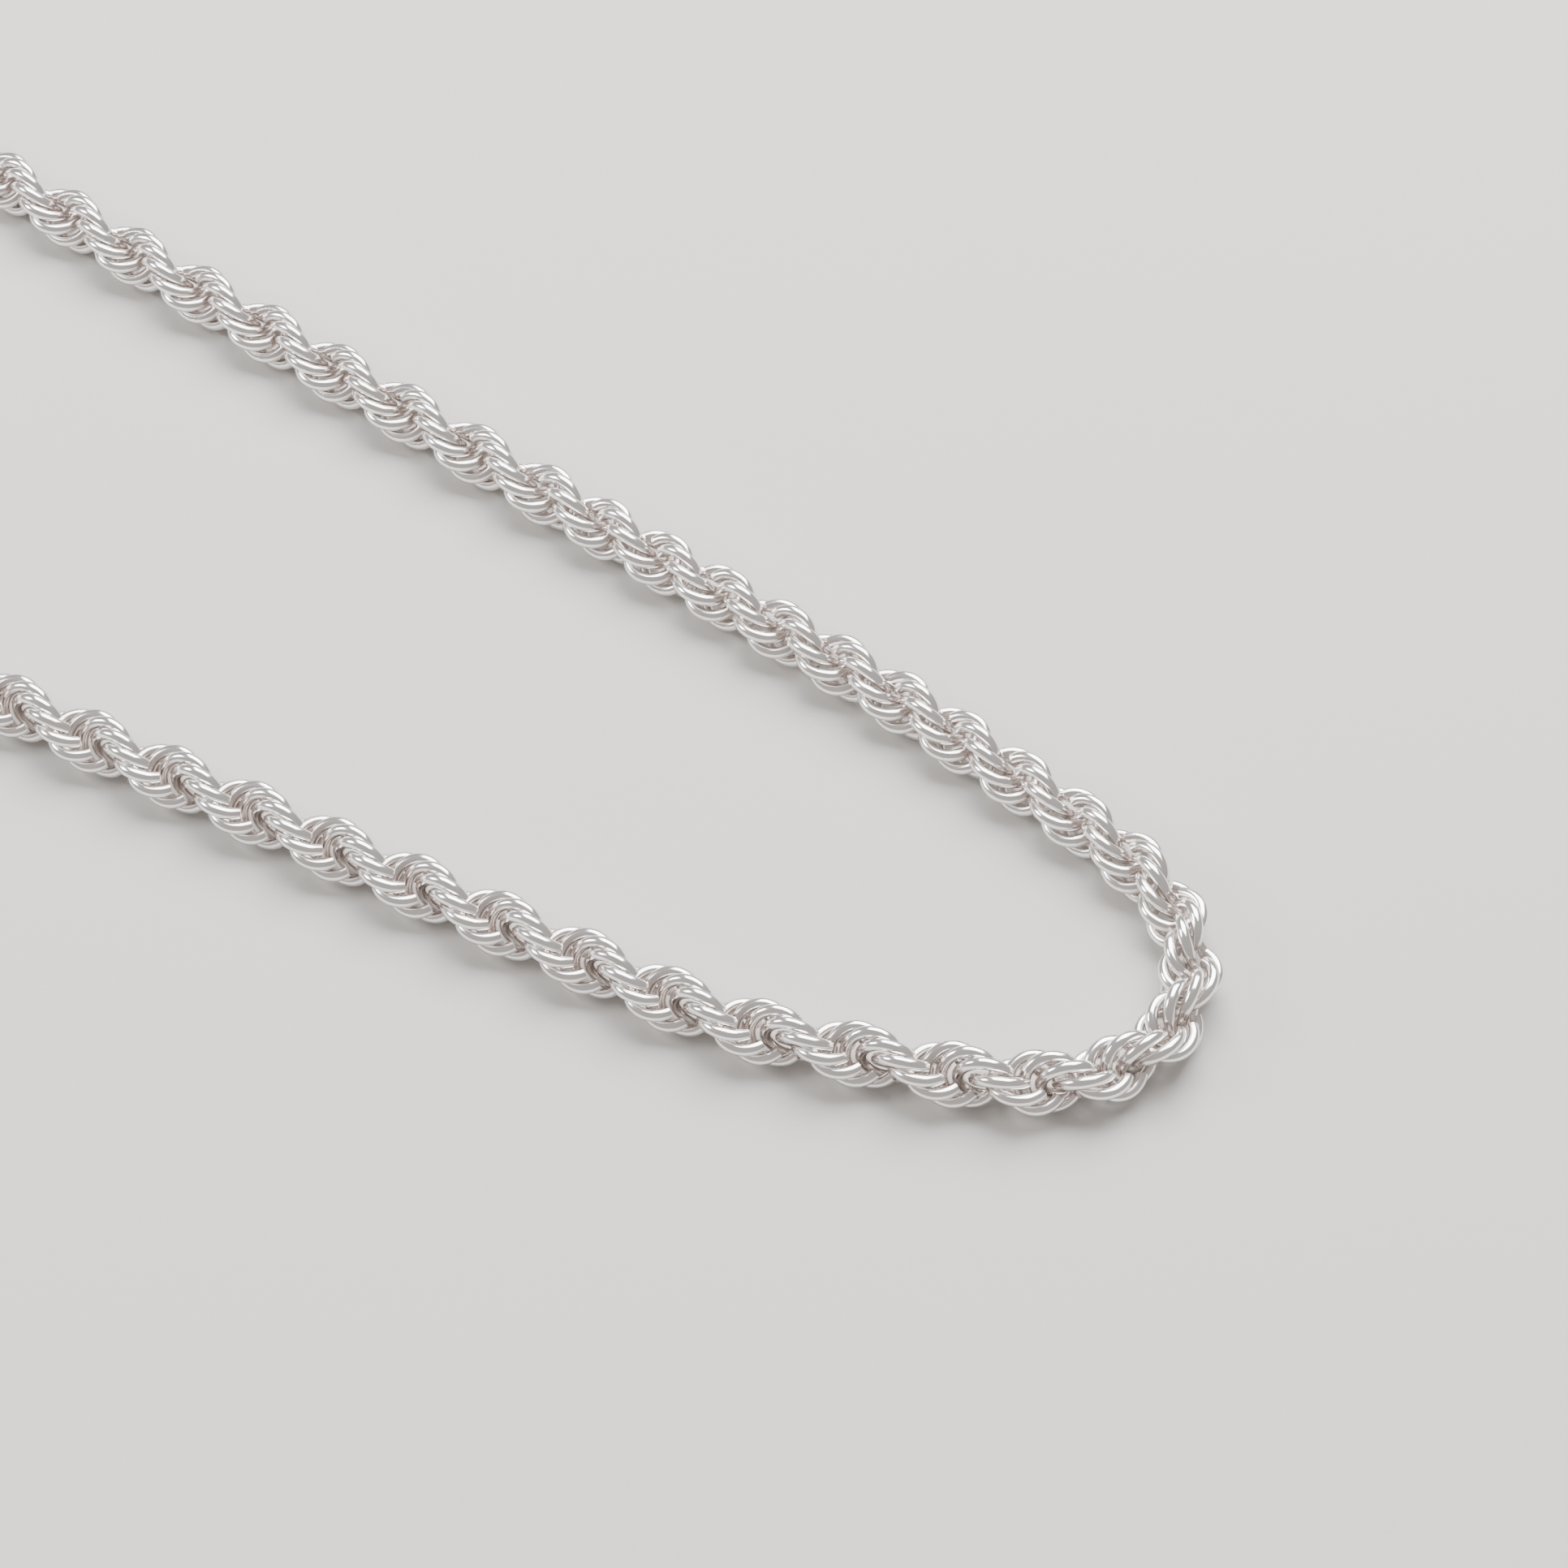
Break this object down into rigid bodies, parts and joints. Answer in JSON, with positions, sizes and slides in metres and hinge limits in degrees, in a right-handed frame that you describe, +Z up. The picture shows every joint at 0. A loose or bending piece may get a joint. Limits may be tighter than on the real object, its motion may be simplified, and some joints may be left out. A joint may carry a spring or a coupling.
{
  "type": "chain necklace",
  "caption": "Rope chain necklace of interlocked round wire links twisted into two strands, laid undone in a hairpin, with a sprung lobster clasp and a plain end ring.",
  "frame": {"origin": "middle of the laid-out necklace's footprint, on the surface under it", "axes": "+X from the two ends towards the bend, +Z up"},
  "size_m": [0.2267, 0.0702, 0.004],
  "materials": {
    "rope_links": "bright polished silver wire",
    "findings": "polished cast silver",
    "spring_steel": "drawn spring wire"
  },
  "bodies": {
    "chain_segment_01": {"chain_segment_01": "rope_links", "clasp_cap": "findings", "chain_segment_02": "rope_links"},
    "chain_segment_03": {"chain_segment_03": "rope_links"},
    "chain_segment_04": {"chain_segment_04": "rope_links"},
    "chain_segment_05": {"chain_segment_05": "rope_links"},
    "chain_segment_06": {"chain_segment_06": "rope_links"},
    "chain_segment_07": {"chain_segment_07": "rope_links"},
    "chain_segment_08": {"chain_segment_08": "rope_links"},
    "chain_segment_09": {"chain_segment_09": "rope_links"},
    "chain_segment_10": {"chain_segment_10": "rope_links"},
    "chain_segment_11": {"chain_segment_11": "rope_links"},
    "chain_segment_12": {"chain_segment_12": "rope_links"},
    "chain_segment_13": {"chain_segment_13": "rope_links"},
    "chain_segment_14": {"chain_segment_14": "rope_links"},
    "chain_segment_15": {"chain_segment_15": "rope_links"},
    "chain_segment_16": {"chain_segment_16": "rope_links"},
    "chain_segment_17": {"chain_segment_17": "rope_links"},
    "chain_segment_18": {"chain_segment_18": "rope_links"},
    "chain_segment_19": {"chain_segment_19": "rope_links"},
    "chain_segment_20": {"chain_segment_20": "rope_links"},
    "chain_segment_21": {"chain_segment_21": "rope_links"},
    "chain_segment_22": {"chain_segment_22": "rope_links"},
    "chain_segment_23": {"chain_segment_23": "rope_links"},
    "chain_segment_24": {"chain_segment_24": "rope_links"},
    "chain_segment_25": {"chain_segment_25": "rope_links"},
    "chain_segment_26": {"chain_segment_26": "rope_links"},
    "chain_segment_27": {"chain_segment_27": "rope_links"},
    "chain_segment_28": {"chain_segment_28": "rope_links"},
    "chain_segment_29": {"chain_segment_29": "rope_links"},
    "chain_segment_30": {"chain_segment_30": "rope_links"},
    "chain_segment_31": {"chain_segment_31": "rope_links"},
    "chain_segment_32": {"chain_segment_32": "rope_links"},
    "chain_segment_33": {"chain_segment_33": "rope_links"},
    "chain_segment_34": {"chain_segment_34": "rope_links"},
    "chain_segment_35": {"chain_segment_35": "rope_links"},
    "chain_segment_37": {"chain_segment_37": "rope_links", "ring_cap": "findings", "chain_segment_36": "rope_links"},
    "jump_ring": {"jump_ring": "findings"},
    "clasp_body": {"clasp_body": "findings", "trigger_pin": "findings", "trigger_spring": "spring_steel"},
    "clasp_trigger": {"clasp_trigger": "findings"},
    "end_ring": {"end_ring": "findings"}
  },
  "joints": [
    {"name": "lift_02", "type": "hinge", "parent": "chain_segment_03", "child": "chain_segment_01", "pos_m": [-0.0643, 0.0331, 0.002], "axis": [-0.0113, -0.9999, 0], "range_deg": [-2, 2]},
    {"name": "sway_03", "type": "hinge", "parent": "chain_segment_04", "child": "chain_segment_03", "pos_m": [-0.05282, 0.03163, 0.002], "axis": [0, 0, -1], "range_deg": [-2, 2]},
    {"name": "lift_04", "type": "hinge", "parent": "chain_segment_05", "child": "chain_segment_04", "pos_m": [-0.04168, 0.02839, 0.002], "axis": [0.3045, 0.9525, 0], "range_deg": [-2, 2]},
    {"name": "sway_05", "type": "hinge", "parent": "chain_segment_06", "child": "chain_segment_05", "pos_m": [-0.03063, 0.02488, 0.002], "axis": [0, 0, 1], "range_deg": [-2, 2]},
    {"name": "lift_06", "type": "hinge", "parent": "chain_segment_07", "child": "chain_segment_06", "pos_m": [-0.01935, 0.02219, 0.002], "axis": [-0.1588, -0.9873, 0], "range_deg": [-2, 2]},
    {"name": "sway_07", "type": "hinge", "parent": "chain_segment_08", "child": "chain_segment_07", "pos_m": [-0.00782, 0.02101, 0.002], "axis": [0, 0, -1], "range_deg": [-2, 2]},
    {"name": "lift_08", "type": "hinge", "parent": "chain_segment_09", "child": "chain_segment_08", "pos_m": [0.00376, 0.02024, 0.002], "axis": [0.0663, 0.9978, 0], "range_deg": [-2, 2]},
    {"name": "sway_09", "type": "hinge", "parent": "chain_segment_10", "child": "chain_segment_09", "pos_m": [0.01533, 0.01948, 0.002], "axis": [0, 0, 1], "range_deg": [-2, 2]},
    {"name": "lift_10", "type": "hinge", "parent": "chain_segment_11", "child": "chain_segment_10", "pos_m": [0.02691, 0.01871, 0.002], "axis": [-0.0663, -0.9978, 0], "range_deg": [-2, 2]},
    {"name": "sway_11", "type": "hinge", "parent": "chain_segment_12", "child": "chain_segment_11", "pos_m": [0.03848, 0.01794, 0.002], "axis": [0, 0, -1], "range_deg": [-2, 2]},
    {"name": "lift_12", "type": "hinge", "parent": "chain_segment_13", "child": "chain_segment_12", "pos_m": [0.05006, 0.01717, 0.002], "axis": [0.0663, 0.9978, 0], "range_deg": [-2, 2]},
    {"name": "sway_13", "type": "hinge", "parent": "chain_segment_14", "child": "chain_segment_13", "pos_m": [0.06163, 0.0164, 0.002], "axis": [0, 0, 1], "range_deg": [-2, 2]},
    {"name": "lift_14", "type": "hinge", "parent": "chain_segment_15", "child": "chain_segment_14", "pos_m": [0.07321, 0.01563, 0.002], "axis": [-0.0663, -0.9978, 0], "range_deg": [-2, 2]},
    {"name": "sway_15", "type": "hinge", "parent": "chain_segment_16", "child": "chain_segment_15", "pos_m": [0.08477, 0.01477, 0.002], "axis": [0, 0, -1], "range_deg": [-2, 2]},
    {"name": "lift_16", "type": "hinge", "parent": "chain_segment_17", "child": "chain_segment_16", "pos_m": [0.09627, 0.01325, 0.002], "axis": [0.1436, 0.9896, 0], "range_deg": [-2, 2]},
    {"name": "sway_17", "type": "hinge", "parent": "chain_segment_18", "child": "chain_segment_17", "pos_m": [0.10732, 0.01007, 0.002], "axis": [0, 0, 1], "range_deg": [-2, 2]},
    {"name": "lift_18", "type": "hinge", "parent": "chain_segment_18", "child": "chain_segment_19", "pos_m": [0.11072, -0.00005, 0.002], "axis": [-0.925, 0.3799, 0], "range_deg": [-2, 2]},
    {"name": "sway_19", "type": "hinge", "parent": "chain_segment_19", "child": "chain_segment_20", "pos_m": [0.10187, -0.00701, 0.002], "axis": [0, 0, -1], "range_deg": [-2, 2]},
    {"name": "lift_20", "type": "hinge", "parent": "chain_segment_20", "child": "chain_segment_21", "pos_m": [0.09081, -0.01049, 0.002], "axis": [0.2333, -0.9724, 0], "range_deg": [-2, 2]},
    {"name": "sway_21", "type": "hinge", "parent": "chain_segment_21", "child": "chain_segment_22", "pos_m": [0.0793, -0.01184, 0.002], "axis": [0, 0, 1], "range_deg": [-2, 2]},
    {"name": "lift_22", "type": "hinge", "parent": "chain_segment_22", "child": "chain_segment_23", "pos_m": [0.06774, -0.01277, 0.002], "axis": [-0.0802, 0.9968, 0], "range_deg": [-2, 2]},
    {"name": "sway_23", "type": "hinge", "parent": "chain_segment_23", "child": "chain_segment_24", "pos_m": [0.05617, -0.0137, 0.002], "axis": [0, 0, -1], "range_deg": [-2, 2]},
    {"name": "lift_24", "type": "hinge", "parent": "chain_segment_24", "child": "chain_segment_25", "pos_m": [0.04461, -0.01463, 0.002], "axis": [0.0802, -0.9968, 0], "range_deg": [-2, 2]},
    {"name": "sway_25", "type": "hinge", "parent": "chain_segment_25", "child": "chain_segment_26", "pos_m": [0.03305, -0.01556, 0.002], "axis": [0, 0, 1], "range_deg": [-2, 2]},
    {"name": "lift_26", "type": "hinge", "parent": "chain_segment_26", "child": "chain_segment_27", "pos_m": [0.02149, -0.01649, 0.002], "axis": [-0.0802, 0.9968, 0], "range_deg": [-2, 2]},
    {"name": "sway_27", "type": "hinge", "parent": "chain_segment_27", "child": "chain_segment_28", "pos_m": [0.00992, -0.01742, 0.002], "axis": [0, 0, -1], "range_deg": [-2, 2]},
    {"name": "lift_28", "type": "hinge", "parent": "chain_segment_28", "child": "chain_segment_29", "pos_m": [-0.00164, -0.01835, 0.002], "axis": [0.0802, -0.9968, 0], "range_deg": [-2, 2]},
    {"name": "sway_29", "type": "hinge", "parent": "chain_segment_29", "child": "chain_segment_30", "pos_m": [-0.0132, -0.01928, 0.002], "axis": [0, 0, 1], "range_deg": [-2, 2]},
    {"name": "lift_30", "type": "hinge", "parent": "chain_segment_30", "child": "chain_segment_31", "pos_m": [-0.02476, -0.02022, 0.002], "axis": [-0.0822, 0.9966, 0], "range_deg": [-2, 2]},
    {"name": "sway_31", "type": "hinge", "parent": "chain_segment_31", "child": "chain_segment_32", "pos_m": [-0.03628, -0.02155, 0.002], "axis": [0, 0, -1], "range_deg": [-2, 2]},
    {"name": "lift_32", "type": "hinge", "parent": "chain_segment_32", "child": "chain_segment_33", "pos_m": [-0.04752, -0.0244, 0.002], "axis": [0.3025, -0.9531, 0], "range_deg": [-2, 2]},
    {"name": "sway_33", "type": "hinge", "parent": "chain_segment_33", "child": "chain_segment_34", "pos_m": [-0.05852, -0.02806, 0.002], "axis": [0, 0, 1], "range_deg": [-2, 2]},
    {"name": "lift_34", "type": "hinge", "parent": "chain_segment_34", "child": "chain_segment_35", "pos_m": [-0.06961, -0.03145, 0.002], "axis": [-0.2416, 0.9704, 0], "range_deg": [-2, 2]},
    {"name": "sway_35", "type": "hinge", "parent": "chain_segment_35", "child": "chain_segment_37", "pos_m": [-0.08107, -0.03309, 0.002], "axis": [0, 0, -1], "range_deg": [-2, 2]},
    {"name": "jump_ring_swing", "type": "hinge", "parent": "chain_segment_01", "child": "jump_ring", "pos_m": [-0.09203, 0.02864, 0.002], "axis": [0.2113, -0.9774, 0], "range_deg": [-15, 15]},
    {"name": "clasp_swing", "type": "hinge", "parent": "jump_ring", "child": "clasp_body", "pos_m": [-0.09408, 0.0282, 0.00135], "axis": [0, 0, 1], "range_deg": [-30, 30]},
    {"name": "trigger_hinge", "type": "hinge", "parent": "clasp_body", "child": "clasp_trigger", "pos_m": [-0.09769, 0.0265, 0.00135], "axis": [0, 0, -1], "range_deg": [0, 25], "stiffness_Nm_per_rad": 0.0002, "springref_deg": -20.05, "deforming": ["trigger_spring"]},
    {"name": "end_ring_swing", "type": "hinge", "parent": "chain_segment_37", "child": "end_ring", "pos_m": [-0.10916, -0.02896, 0.002], "axis": [0, 0, 1], "range_deg": [-25, 25]}
  ]
}
